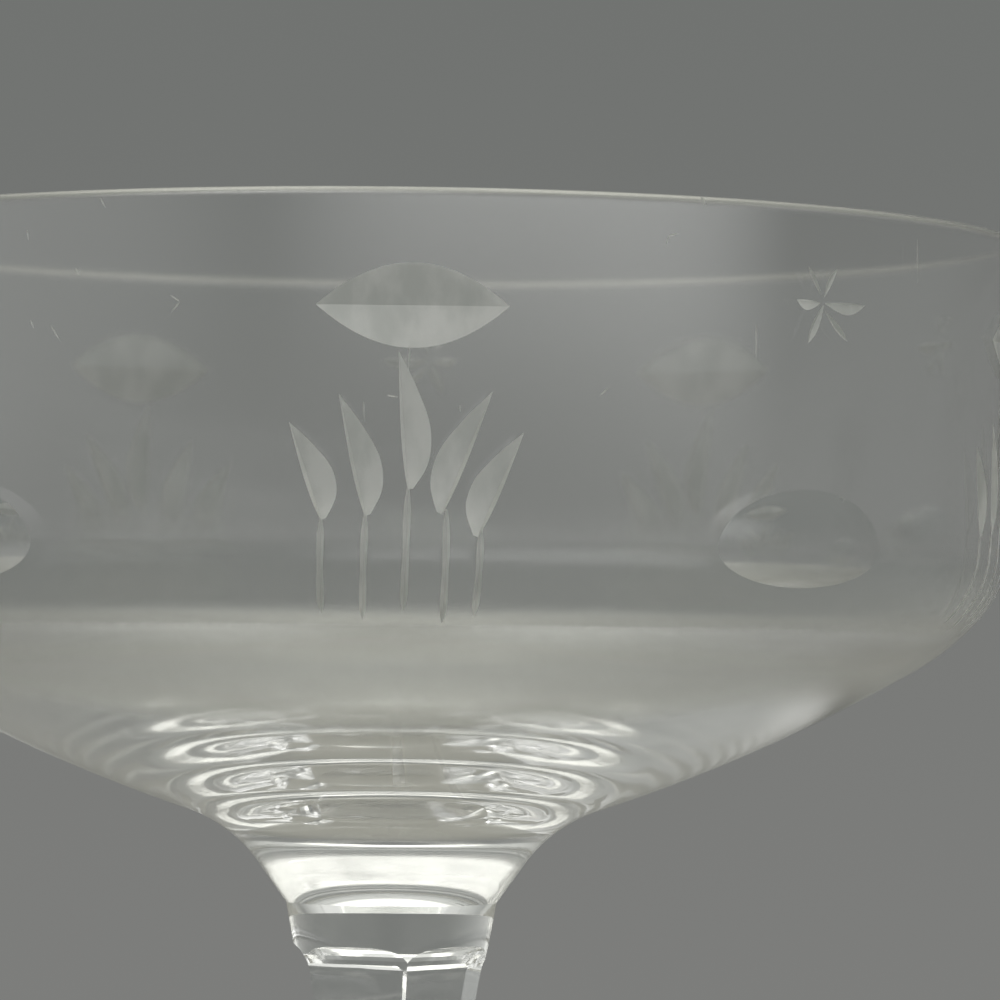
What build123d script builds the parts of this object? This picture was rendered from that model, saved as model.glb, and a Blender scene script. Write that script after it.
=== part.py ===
from build123d import *
from math import cos, degrees, pi, radians, sin, tan
import os

# Coupe glass, in millimetres, +Z up, standing on Z = 0 with its axis on Z.
# Three pieces of glass, joined hot at flat faces: a blown bowl with wheel-cut decoration, a
# stem with five cut sides, and a spread foot.
# Azimuths run from the front (-Y) towards the right (+X), in degrees. On the outside of the
# bowl a place is (right, run): millimetres to the right of the middle of its group of cuts,
# and millimetres down the glass from the rim.

os.makedirs("parts", exist_ok=True)

# ---------------------------------------------------------------- heights
foot_height = 9.0  # floor to the joint of foot and stem
stem_length = 61.2  # joint to joint
bowl_height = 49.8  # joint of stem and bowl to the rim

# ---------------------------------------------------------------- bowl, outside
rim_radius = 48.0
wall_lean = 3.9  # degrees that the wall leans in, going down
wall_run = 23.5  # length of the straight wall
shoulder_round = 7.2
shoulder_turn = 35.8  # degrees from the wall to the wider round below it
lower_shoulder_round = 20.2
lower_shoulder_turn = 20.3  # degrees from there to the start of the broad base
base_end_radius = 15.6  # where the broad base ends and the neck curve starts
base_end_height = 7.0  # above the joint with the stem
collar_top_radius = 9.9
collar_height = 2.65
bowl_joint_radius = 8.0

# ---------------------------------------------------------------- bowl, inside
lip_thickness = 1.3
lip_flat = 0.2  # left between the two rounded edges of the lip
shoulder_thickness = 1.9
inside_corner_drop = 27.3  # rim to where the lines of wall and floor would meet
inside_round = 5.8
inside_depth = 41.0  # rim to the lowest point of the floor

# ---------------------------------------------------------------- stem, drops from its top
stem_upper_radius = 7.4
stem_upper_drop = 3.2
stem_shank_radius = 6.6
stem_shank_drop = 7.5
stem_waist_radius = 4.6
stem_waist_drop = 33.0
stem_joint_radius = 6.4  # at the joint with the foot
stem_top_draw = 0.18  # inward for each millimetre down, at the top
stem_foot_flare = 0.45  # outward for each millimetre down, at the foot
flat_count = 5
flat_azimuth = 46.0  # middle of the first flat
flat_top_drop = 3.05
flat_end_height = 5.0  # above the joint with the foot
flat_runout = 2.2  # radius of the wheel where a flat runs out
flat_bite = 0.12  # how far each flat is cut past meeting its neighbour in the round stem

# ---------------------------------------------------------------- foot
foot_radius = 33.0
foot_edge = 1.8
foot_edge_flat = 0.4  # left between the two rounded edges
foot_brow_radius = 10.5  # where the top of the foot starts to sweep up
foot_brow_height = 4.2
rest_ring_width = 4.0  # flat ring that the glass stands on
foot_hollow = 1.2  # rise of the underside at the middle

# ---------------------------------------------------------------- wheel cuts
cutter_rise = 0.5  # how far a cutter stands out of the glass

# Cut by hand, the groups are a few degrees off an even fifth of a turn.
fan_azimuths = (0.0, 72.0, 144.7, 206.7, 287.0)
lens_azimuths = (37.6, 109.0, 176.0, 247.0, 318.3)

# A long eye over each fan of leaves: a V cut by a big wheel held level.
eye_right = 1.05
eye_run = 7.97
eye_length = 13.0
eye_width = 5.7
eye_wheel_radius = 100.0

# Five leaves: tip, lower end, and the side that bulges (1 is right, -1 is left).
leaves = (
    ((-7.10, 15.79), (-4.95, 22.35), 1),
    ((-3.77, 13.93), (-1.99, 22.05), 1),
    ((0.14, 11.02), (0.85, 20.25), 1),
    ((6.41, 13.63), (3.10, 21.90), -1),
    ((8.56, 16.34), (5.55, 23.40), -1),
)
leaf_depth = 0.40
leaf_bulge = 1.95
leaf_straight_side = 0.22
leaf_stations = ((0.0, 0.0), (0.3, 0.62), (0.6, 1.0), (0.85, 0.74), (1.0, 0.18))

# A stalk under each leaf: top and lower end, over the turn of the shoulder.
stalks = (
    ((-4.95, 22.15), (-5.20, 29.33)),
    ((-1.99, 21.85), (-2.28, 29.89)),
    ((0.85, 20.05), (0.61, 29.17)),
    ((3.43, 21.55), (3.45, 30.20)),
    ((5.76, 22.75), (5.69, 29.48)),
)
stalk_depth = 0.20
stalk_half_width = 0.24
stalk_stations = ((0.0, 0.3), (0.12, 0.85), (0.5, 0.85), (0.85, 1.0), (1.0, 0.0))

# Between the fans, a round-bottomed lens with a star of six petals above it.
lens_run = 23.5
lens_depth = 0.86
lens_tip = 3.4  # degrees that it faces further down than the wall
lens_edge_radius = 12.0  # roundness of the edge of its wheel
lens_wheel_radius = 110.0
star_right = 0.4
star_run = 6.72
# Each petal: inner end and outer end from the middle of the star (right, down), and the
# widths of its cut on the left and the right of the way from inner to outer end.
petals = (
    ((-0.25, 0.05), (-2.35, -0.05), 0.62, 0.08),
    ((0.20, 0.05), (4.05, 0.00), 0.08, 0.75),
    ((-0.20, -0.50), (-1.46, -2.40), 0.16, 0.16),
    ((0.10, -0.35), (1.13, -2.33), 0.36, 0.12),
    ((0.05, 0.20), (-1.16, 2.90), 0.34, 0.34),
    ((0.25, 0.65), (2.50, 2.60), 0.24, 0.24),
)
petal_depth = 0.16
petal_stations = ((0.0, 0.1), (0.3, 0.75), (0.55, 1.0), (0.8, 0.7), (1.0, 0.0))

# ---------------------------------------------------------------- worked out from the above
foot_joint_z = foot_height
bowl_joint_z = foot_joint_z + stem_length
rim_z = bowl_joint_z + bowl_height
lean = radians(wall_lean)
shoulder_radius = rim_radius - wall_run * sin(lean)
shoulder_z = rim_z - wall_run * cos(lean)
lip_round = (lip_thickness - lip_flat) / 2
inside_corner_radius = rim_radius - inside_corner_drop * tan(lean) - shoulder_thickness
foot_edge_round = (foot_edge - foot_edge_flat) / 2


def on_the_glass(right, run):
    """Plane on the outside of the front of the bowl: X to the right, Y up, Z out of the glass."""
    azimuth = right / shoulder_radius
    facing = lean
    radius = rim_radius - min(run, wall_run) * sin(lean)
    height = rim_z - min(run, wall_run) * cos(lean)
    left = max(0, run - wall_run)
    for round_radius, turn in ((shoulder_round, shoulder_turn), (lower_shoulder_round, lower_shoulder_turn)):
        end = facing + min(radians(turn), left / round_radius)
        radius = radius + round_radius * (cos(end) - cos(facing))
        height = height - round_radius * (sin(end) - sin(facing))
        left = left - round_radius * (end - facing)
        facing = end
    out = Vector(sin(azimuth), -cos(azimuth), 0)
    return Plane(
        origin=out * radius + Vector(0, 0, height),
        x_dir=(cos(azimuth), sin(azimuth), 0),
        z_dir=out * cos(facing) - Vector(0, 0, sin(facing)),
    )


def v_cutter(start, end, stations, depth, left_width, right_width):
    """Cutter for a tapered V from start to end; each station is (share of length, of depth).

    The widths are those of the cut on the left and the right of the way from start to end.
    """
    with BuildPart() as cutter:
        for length_share, depth_share in stations:
            right = start[0] + (end[0] - start[0]) * length_share
            run = start[1] + (end[1] - start[1]) * length_share
            glass = on_the_glass(right, run)
            along = glass.x_dir * (end[0] - start[0]) - glass.y_dir * (end[1] - start[1])
            valley = depth * depth_share
            spread = (valley + cutter_rise) / depth
            with BuildSketch(Plane(glass.origin, x_dir=glass.z_dir.cross(along), z_dir=along)):
                with BuildLine():
                    Polyline(
                        (0, -valley),
                        (spread * left_width, cutter_rise),
                        (-spread * right_width, cutter_rise),
                        close=True,
                    )
                make_face()
        loft()
    return cutter.part


def wheel_section(glass, tip=0.0):
    """Upright plane through a wheel's edge: X out of the glass, turned down by tip degrees."""
    turn = radians(tip)
    return Plane(
        glass.origin,
        x_dir=glass.z_dir * cos(turn) - glass.y_dir * sin(turn),
        z_dir=glass.x_dir * -1,
    )


def wheel_axis(section, distance):
    """Axle of a level wheel, this far out of the glass."""
    return Axis(section.origin + section.x_dir * distance, section.y_dir)


# ---------------------------------------------------------------- cutters for one fan
eye_glass = on_the_glass(eye_right, eye_run)
eye_wall_radius = rim_radius - eye_run * sin(lean)
eye_depth = (eye_length / 2) ** 2 / 2 * (1 / eye_wall_radius + 1 / eye_wheel_radius)
eye_section = wheel_section(eye_glass)

with BuildPart() as eye_cutter:
    with BuildSketch(eye_section):
        with BuildLine():
            eye_reach = (eye_depth + cutter_rise) / eye_depth * eye_width / 2
            Polyline((-eye_depth, 0), (cutter_rise, eye_reach), (cutter_rise, -eye_reach), close=True)
        make_face()
    revolve(axis=wheel_axis(eye_section, eye_wheel_radius - eye_depth))

fan_cutters = [eye_cutter.part]
for tip_end, lower_end, bulging_side in leaves:
    sides = (leaf_bulge, leaf_straight_side)[::bulging_side]
    fan_cutters.append(v_cutter(tip_end, lower_end, leaf_stations, leaf_depth, *sides))
for top_end, lower_end in stalks:
    widths = (stalk_half_width, stalk_half_width)
    fan_cutters.append(v_cutter(top_end, lower_end, stalk_stations, stalk_depth, *widths))

# ---------------------------------------------------------------- cutters for one lens and star
lens_section = wheel_section(on_the_glass(0, lens_run), lens_tip)

with BuildPart() as lens_cutter:
    with BuildSketch(lens_section):
        with Locations((lens_edge_radius - lens_depth, 0)):
            Circle(lens_edge_radius)
    revolve(axis=wheel_axis(lens_section, lens_wheel_radius - lens_depth))

lens_cutters = [lens_cutter.part]
for inner_end, outer_end, left_width, right_width in petals:
    start = (star_right + inner_end[0], star_run + inner_end[1])
    end = (star_right + outer_end[0], star_run + outer_end[1])
    lens_cutters.append(v_cutter(start, end, petal_stations, petal_depth, left_width, right_width))

# ---------------------------------------------------------------- bowl
with BuildPart() as bowl:
    with BuildSketch(Plane.XZ) as bowl_profile:
        with BuildLine():
            wall = Line((rim_radius, rim_z), (shoulder_radius, shoulder_z))
            shoulder = JernArc(wall @ 1, wall % 1, shoulder_round, -shoulder_turn)
            base_end = (base_end_radius, bowl_joint_z + base_end_height)
            lower_shoulder = JernArc(shoulder @ 1, shoulder % 1, lower_shoulder_round, -lower_shoulder_turn)
            base = TangentArc(lower_shoulder @ 1, base_end, tangent=lower_shoulder % 1)
            collar_top = (collar_top_radius, bowl_joint_z + collar_height)
            neck = TangentArc(base @ 1, collar_top, tangent=base % 1)
            collar = Line(neck @ 1, (bowl_joint_radius, bowl_joint_z))
            joint_face = Line(collar @ 1, (0, bowl_joint_z))
            middle = Line(joint_face @ 1, (0, rim_z - inside_depth))
            inside_corner = (inside_corner_radius, rim_z - inside_corner_drop)
            floor = TangentArc(middle @ 1, inside_corner, tangent=(1, 0))
            inside_wall = Line(floor @ 1, (rim_radius - lip_thickness, rim_z))
            Line(inside_wall @ 1, wall @ 0)
        make_face()
        fillet(bowl_profile.vertices().sort_by(Axis.Y)[-2:], lip_round)
        fillet(bowl_profile.vertices().sort_by_distance(inside_corner)[0], inside_round)
    revolve(axis=Axis.Z)
    with Locations(*[Location((0, 0, 0), (0, 0, azimuth)) for azimuth in fan_azimuths]):
        add(fan_cutters, mode=Mode.SUBTRACT)
    with Locations(*[Location((0, 0, 0), (0, 0, azimuth)) for azimuth in lens_azimuths]):
        add(lens_cutters, mode=Mode.SUBTRACT)

# ---------------------------------------------------------------- stem
stem_outline = (
    (bowl_joint_radius, bowl_joint_z),
    (stem_upper_radius, bowl_joint_z - stem_upper_drop),
    (stem_shank_radius, bowl_joint_z - stem_shank_drop),
    (stem_waist_radius, bowl_joint_z - stem_waist_drop),
    (stem_joint_radius, foot_joint_z),
)
flat_share = cos(pi / flat_count)  # of the round stem's radius, where two flats meet on it
flat_outline = [(radius * flat_share - flat_bite, z) for radius, z in stem_outline]
flat_clear = 2 * bowl_joint_radius  # further out than any of the stem
flat_top_z = bowl_joint_z - flat_top_drop
flat_end_z = foot_joint_z + flat_end_height

with BuildPart() as flat_cutter:
    with BuildSketch(Plane.XZ) as flat_profile:
        with BuildLine():
            flat_line = Spline(*flat_outline, tangents=[(-stem_top_draw, -1), (stem_foot_flare, -1)])
            Polyline(
                flat_line @ 1,
                (flat_clear, foot_joint_z),
                (flat_clear, bowl_joint_z),
                flat_line @ 0,
            )
        make_face()
        with Locations((flat_clear / 2, (flat_top_z + flat_end_z) / 2)):
            Rectangle(flat_clear, flat_top_z - flat_end_z, mode=Mode.INTERSECT)
        fillet(flat_profile.vertices().sort_by(Axis.X)[:2], flat_runout)
    extrude(amount=flat_clear, both=True)

with BuildPart() as stem:
    with BuildSketch(Plane.XZ):
        with BuildLine():
            stem_line = Spline(*stem_outline, tangents=[(-stem_top_draw, -1), (stem_foot_flare, -1)])
            Polyline(stem_line @ 1, (0, foot_joint_z), (0, bowl_joint_z), stem_line @ 0)
        make_face()
    revolve(axis=Axis.Z)
    with PolarLocations(0, flat_count, start_angle=flat_azimuth - 90):
        add(flat_cutter.part, mode=Mode.SUBTRACT)

# ---------------------------------------------------------------- foot
with BuildPart() as foot:
    with BuildSketch(Plane.XZ) as foot_profile:
        with BuildLine():
            rest_ring_inner = foot_radius - foot_edge_round - rest_ring_width
            hollow = TangentArc((0, foot_hollow), (rest_ring_inner, 0), tangent=(1, 0))
            ring = Line(hollow @ 1, (foot_radius, 0))
            edge = Line(ring @ 1, (foot_radius, foot_edge))
            spread = Line(edge @ 1, (foot_brow_radius, foot_brow_height))
            sweep_up = Spline(
                spread @ 1,
                (stem_joint_radius, foot_joint_z),
                tangents=[spread % 1, (-stem_foot_flare, 1)],
            )
            Polyline(sweep_up @ 1, (0, foot_joint_z), hollow @ 0)
        make_face()
        fillet(foot_profile.vertices().group_by(Axis.X)[-1], foot_edge_round)
    revolve(axis=Axis.Z)

# ---------------------------------------------------------------- labels and files
bowl.part.label = "bowl"
export_step(bowl.part, "parts/bowl.step")
stem.part.label = "stem"
export_step(stem.part, "parts/stem.step")
foot.part.label = "foot"
export_step(foot.part, "parts/foot.step")
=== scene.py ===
import logging
import math
from dataclasses import dataclass, field
from enum import Enum
from typing import Callable, Mapping, Sequence

import bmesh
import bpy
import numpy as np
from mathutils import Matrix, Vector


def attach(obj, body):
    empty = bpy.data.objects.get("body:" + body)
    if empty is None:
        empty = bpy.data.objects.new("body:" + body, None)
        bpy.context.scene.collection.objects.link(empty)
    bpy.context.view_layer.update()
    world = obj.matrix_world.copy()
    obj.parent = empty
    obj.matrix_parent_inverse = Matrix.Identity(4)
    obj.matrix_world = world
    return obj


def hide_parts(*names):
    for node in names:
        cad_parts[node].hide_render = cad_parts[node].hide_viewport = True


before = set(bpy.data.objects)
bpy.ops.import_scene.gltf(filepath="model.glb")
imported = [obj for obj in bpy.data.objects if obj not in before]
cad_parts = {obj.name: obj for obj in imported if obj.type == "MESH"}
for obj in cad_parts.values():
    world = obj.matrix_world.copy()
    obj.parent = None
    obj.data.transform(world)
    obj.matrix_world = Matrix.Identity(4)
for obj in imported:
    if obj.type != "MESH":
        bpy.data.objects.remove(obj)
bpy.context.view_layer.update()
log = logging.getLogger("coupe_glass")

MM = 0.001  # sizes below are in millimetres
ROOT = "root"
GLASS_IOR = 1.52
FINISH_MARK = "finish"  # face attribute that holds the number of a Finish
AT_HEIGHT = 1e-7  # metres within which a face lies at a height
LEVEL = 0.999  # upright share of a normal from which its face is level
ON_AXIS = 1e-4  # millimetres within which a point lies on the axis
CHUNK = 20000  # points that are compared with an outline at once

Pair = tuple[float, float]
Triple = tuple[float, float, float]
Socket = bpy.types.NodeSocket


class Finish(Enum):
    """How a face of the glass was left."""

    FIRE_POLISHED = 0
    GROUND = 1
    POLISHED_CUT = 2
    HOT_JOINT = 3


# ------------------------------------------------------------------ outlines and lathe work


def blend(u: np.ndarray, ends: tuple, slopes: tuple, length: np.ndarray | float) -> np.ndarray:
    """Runs smoothly from one value to another.

    Args:
        u: Shares of the way, from 0 to 1.
        ends: The two values.
        slopes: Slopes at the two ends.
        length: Length of the way.

    Returns:
        The values on the way.
    """
    line = (2 * u**3 - 3 * u**2 + 1) * ends[0] + (3 * u**2 - 2 * u**3) * ends[1]
    return line + length * ((u**3 - 2 * u**2 + u) * slopes[0] + (u**3 - u**2) * slopes[1])


@dataclass
class Stretch:
    """One short straight stretch of an outline, with the headings of the true curve at its ends."""

    start: Pair
    end: Pair
    start_heading: float
    end_heading: float


@dataclass
class Outline:
    """Pen that draws the half section of a turned piece as (radius, height).

    The glass lies on the right of the way it is drawn, so the outside is on the left.
    """

    start: Pair
    stretches: list[Stretch] = field(default_factory=list)

    @property
    def tip(self) -> Pair:
        """Where the pen is."""
        return self.stretches[-1].end if self.stretches else self.start

    @property
    def heading(self) -> float:
        """Way the pen is going, in radians from outward, positive upward."""
        return self.stretches[-1].end_heading

    def line(self, end: Pair, step: float = 100.0) -> "Outline":
        """Draws a straight line.

        Args:
            end: Where it ends.
            step: Longest stretch.

        Returns:
            The same outline.
        """
        a, b = np.array(self.tip), np.array(end)
        heading = math.atan2(*(b - a)[::-1])
        pieces = max(1, math.ceil(float(np.linalg.norm(b - a)) / step))
        for i in range(pieces):
            p, q = a + (b - a) * i / pieces, a + (b - a) * (i + 1) / pieces
            self.stretches.append(Stretch(tuple(p), tuple(q), heading, heading))
        return self

    def arc(self, radius: float, turn: float, step: float, heading: float | None = None) -> "Outline":
        """Draws an arc.

        Args:
            radius: Its radius.
            turn: How far it turns, in radians, positive to the left.
            step: Longest stretch.
            heading: Heading to start with, if not the present one.

        Returns:
            The same outline.
        """
        h = self.heading if heading is None else heading
        side = math.copysign(1.0, turn)
        centre = np.array(self.tip) + side * radius * np.array([-math.sin(h), math.cos(h)])
        pieces = max(1, math.ceil(abs(turn) * radius / step))
        for i in range(pieces):
            h0, h1 = h + turn * i / pieces, h + turn * (i + 1) / pieces
            end = centre - side * radius * np.array([-math.sin(h1), math.cos(h1)])
            self.stretches.append(Stretch(self.tip, tuple(end), h0, h1))
        return self

    def arc_to(self, end: Pair, step: float) -> "Outline":
        """Draws the arc that reaches a point.

        Args:
            end: Where it ends.
            step: Longest stretch.

        Returns:
            The same outline.
        """
        chord = np.array(end) - np.array(self.tip)
        half = (math.atan2(chord[1], chord[0]) - self.heading + math.pi) % (2 * math.pi) - math.pi
        return self.arc(abs(float(np.linalg.norm(chord)) / (2 * math.sin(half))), 2 * half, step)

    def curve(self, knots: Sequence[Pair], headings: Pair, step: float) -> "Outline":
        """Draws a smooth curve through points.

        Args:
            knots: The points after the pen's own.
            headings: Headings at the two ends.
            step: Longest stretch.

        Returns:
            The same outline.
        """
        points = [np.array(p, float) for p in (self.tip, *knots)]
        lengths = [float(np.linalg.norm(b - a)) for a, b in zip(points, points[1:])]
        tangents = [np.array([math.cos(headings[0]), math.sin(headings[0])])]
        for i in range(1, len(points) - 1):
            before = (points[i] - points[i - 1]) / lengths[i - 1]
            after = (points[i + 1] - points[i]) / lengths[i]
            between = before * lengths[i] + after * lengths[i - 1]
            tangents.append(between / np.linalg.norm(between))
        tangents.append(np.array([math.cos(headings[1]), math.sin(headings[1])]))
        for p, q, s, t, length in zip(points, points[1:], tangents, tangents[1:], lengths):
            pieces = max(1, math.ceil(length / step))
            u = np.linspace(0, 1, pieces + 1)[:, None]
            line = blend(u, (p, q), (s, t), length)
            way = 6 * (u**2 - u) * (p - q) + length * ((3 * u**2 - 4 * u + 1) * s + (3 * u**2 - 2 * u) * t)
            turn = np.unwrap(np.arctan2(way[:, 1], way[:, 0]))
            for j in range(pieces):
                self.stretches.append(Stretch(tuple(line[j]), tuple(line[j + 1]), turn[j], turn[j + 1]))
        return self

    def turned(self, name: str, sides: int) -> bpy.types.Object:
        """Turns the outline round the axis into a closed mesh; it starts and ends on the axis.

        Args:
            name: Name of the new object.
            sides: Number of flats round the axis.

        Returns:
            The new object.
        """
        rings = np.array([s.end for s in self.stretches[:-1]])
        angle = np.arange(sides) * 2 * math.pi / sides
        across, up = rings[:, :1], np.repeat(rings[:, 1:], sides, 1)
        circle = np.stack([across * np.cos(angle), across * np.sin(angle), up], -1).reshape(-1, 3)
        verts = np.vstack([circle, [[0, 0, self.start[1]], [0, 0, self.tip[1]]]])
        i, j = np.meshgrid(np.arange(len(rings) - 1), np.arange(sides), indexing="ij")
        k = (j + 1) % sides
        quads = np.stack([i * sides + j, (i + 1) * sides + j, (i + 1) * sides + k, i * sides + k], -1)
        j, k = np.arange(sides), (np.arange(sides) + 1) % sides
        last = (len(rings) - 1) * sides
        first_fan = np.stack([np.full(sides, len(circle)), j, k], -1)
        last_fan = np.stack([np.full(sides, len(circle) + 1), last + k, last + j], -1)
        faces = quads.reshape(-1, 4).tolist() + first_fan.tolist() + last_fan.tolist()
        return mesh_object(name, verts, faces)

    def normals(self, corners: np.ndarray, middles: np.ndarray) -> np.ndarray:
        """Exact outward normals of the turned surface.

        Args:
            corners: Face corners, (n, 3).
            middles: Middle of each corner's face, (n, 3), which decides the stretch that it lies on.

        Returns:
            One unit normal for each corner.
        """
        a = np.array([s.start for s in self.stretches])
        way = np.array([s.end for s in self.stretches]) - a
        headings = np.array([(s.start_heading, s.end_heading) for s in self.stretches])
        square = (way**2).sum(1)
        middle = np.stack([np.hypot(middles[:, 0], middles[:, 1]), middles[:, 2]], -1)
        nearest = np.empty(len(middle), int)
        for low in range(0, len(middle), CHUNK):
            offset = middle[low : low + CHUNK, None] - a
            share = np.clip((offset * way).sum(-1) / square, 0, 1)
            nearest[low : low + CHUNK] = ((offset - share[..., None] * way) ** 2).sum(-1).argmin(1)
        radius = np.hypot(corners[:, 0], corners[:, 1])
        offset = np.stack([radius, corners[:, 2]], -1) - a[nearest]
        share = np.clip((offset * way[nearest]).sum(-1) / square[nearest], 0, 1)
        heading = headings[nearest, 0] * (1 - share) + headings[nearest, 1] * share
        on_axis = radius < ON_AXIS
        outward = corners[:, :2] / np.where(on_axis, 1, radius)[:, None]
        level = np.where(on_axis, 0, -np.sin(heading))[:, None] * outward
        upright = np.where(on_axis, np.sign(np.cos(heading)), np.cos(heading))[:, None]
        return np.hstack([level, upright])


def mesh_object(name: str, verts: np.ndarray, faces: Sequence[Sequence[int]]) -> bpy.types.Object:
    """Makes an object from points.

    Args:
        name: Its name.
        verts: Points, in millimetres.
        faces: Corner numbers of each face.

    Returns:
        The new object, at the origin, with its mesh in metres.
    """
    mesh = bpy.data.meshes.new(name)
    mesh.from_pydata((np.asarray(verts, float) * MM).tolist(), [], faces)
    mesh.update()
    made = bpy.data.objects.new(name, mesh)
    bpy.context.scene.collection.objects.link(made)
    return made


def mark(made: bpy.types.Object, finish: Finish, height: float | None = None) -> bpy.types.Object:
    """Marks faces with a finish.

    Args:
        made: Object to mark.
        finish: The finish.
        height: Where given, only flat faces at this height are marked.

    Returns:
        The same object.
    """
    mesh = made.data
    attribute = mesh.attributes.get(FINISH_MARK) or mesh.attributes.new(FINISH_MARK, "INT", "FACE")
    for face, value in zip(mesh.polygons, attribute.data):
        if height is None or (abs(face.center.z - height * MM) < AT_HEIGHT and abs(face.normal.z) > LEVEL):
            value.value = finish.value
    return made


def skin(name: str, grid: np.ndarray, finish: Finish) -> bpy.types.Object:
    """Makes a closed cutter from cross-sections.

    Args:
        name: Its name.
        grid: Points (section, corner, 3); the corners go round each section.
        finish: Finish that the cutter leaves.

    Returns:
        The new object, with its faces outward.
    """
    count, corners = grid.shape[:2]
    i, j = np.meshgrid(np.arange(count - 1), np.arange(corners), indexing="ij")
    k = (j + 1) % corners
    quads = np.stack([i * corners + j, i * corners + k, (i + 1) * corners + k, (i + 1) * corners + j], -1)
    ends = [list(range(corners))[::-1], [(count - 1) * corners + j for j in range(corners)]]
    made = mesh_object(name, grid.reshape(-1, 3), quads.reshape(-1, 4).tolist() + ends)
    work = bmesh.new()
    work.from_mesh(made.data)
    bmesh.ops.triangulate(work, faces=work.faces[:])
    if work.calc_volume(signed=True) < 0:
        bmesh.ops.reverse_faces(work, faces=work.faces[:])
    work.to_mesh(made.data)
    work.free()
    return mark(made, finish)


# ------------------------------------------------------------------ wheel cuts


@dataclass(frozen=True)
class Place:
    """A place on the outside of the glass, with the ways right, up and out of it."""

    origin: np.ndarray
    right: np.ndarray
    up: np.ndarray
    out: np.ndarray


@dataclass(frozen=True)
class Taper:
    """How a tapered cut deepens along its way: shares of its length and of its depth."""

    lengths: tuple[float, ...]
    depths: tuple[float, ...]
    stations: int

    def at(self) -> tuple[np.ndarray, np.ndarray]:
        """Smooth depth shares at even stations.

        Returns:
            The stations' shares of the length, and of the depth.
        """
        x, y = np.array(self.lengths), np.array(self.depths)
        slope = np.gradient(y, x)
        t = np.linspace(0, 1, self.stations)
        i = np.clip(np.searchsorted(x, t, side="right") - 1, 0, len(x) - 2)
        gap = x[i + 1] - x[i]
        u = (t - x[i]) / gap
        rise = blend(u, (y[i], y[i + 1]), (slope[i], slope[i + 1]), gap)
        return t, np.clip(rise, 0, 1)


@dataclass(frozen=True)
class TaperedCut:
    """A V cut that deepens and runs out again along its way.

    Its places are (right, run): right of the middle of its group, and down the glass from the rim.
    The widths are those of the cut on the left and the right of the way from start to end.
    """

    name: str
    start: Pair
    end: Pair
    left: float
    right: float
    depth: float
    taper: Taper
    rise: float = 0.15

    def cutter(self, bowl: "Bowl") -> bpy.types.Object:
        """Makes the cutter.

        Args:
            bowl: The bowl that it cuts.

        Returns:
            The cutter.
        """
        start, end = np.array(self.start), np.array(self.end)
        sections = []
        for length_share, depth_share in zip(*self.taper.at()):
            place = bowl.place(*(start + (end - start) * length_share))
            along = place.right * (end - start)[0] - place.up * (end - start)[1]
            left = np.cross(place.out, along / np.linalg.norm(along))
            valley = self.depth * depth_share
            spread = (valley + self.rise) / self.depth
            above = place.origin + place.out * self.rise
            edges = (above + left * spread * self.left, above - left * spread * self.right)
            sections.append([place.origin - place.out * valley, *edges])
        return skin(self.name, np.array(sections), Finish.GROUND)


@dataclass(frozen=True)
class WheelCut:
    """A cut by a big level wheel that is pressed straight into the glass."""

    name: str
    right: float
    run: float
    depth: float
    wheel_radius: float
    half_length: float
    edge: tuple[Pair, ...]  # wheel's section: out of the glass from its edge, and up
    finish: Finish
    tip: float = 0.0  # radians that it faces further down than the wall
    steps: int = 40

    def cutter(self, bowl: "Bowl") -> bpy.types.Object:
        """Makes the cutter.

        Args:
            bowl: The bowl that it cuts.

        Returns:
            The cutter.
        """
        place = bowl.place(self.right, self.run)
        out = place.out * math.cos(self.tip) - place.up * math.sin(self.tip)
        axle = place.up * math.cos(self.tip) + place.out * math.sin(self.tip)
        hub = place.origin + out * (self.wheel_radius - self.depth)
        edge = np.array(self.edge)
        reach = math.asin(self.half_length / self.wheel_radius)
        sections = []
        for turn in np.linspace(-reach, reach, self.steps + 1):
            spoke = -out * math.cos(turn) + place.right * math.sin(turn)
            sections.append(hub + spoke * (self.wheel_radius - edge[:, :1]) + axle * edge[:, 1:])
        return skin(self.name, np.array(sections), self.finish)


@dataclass(frozen=True)
class CutGroup:
    """Cuts that are repeated together round the glass."""

    name: str
    azimuths: tuple[float, ...]
    cutters: tuple[bpy.types.Object, ...]


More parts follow.
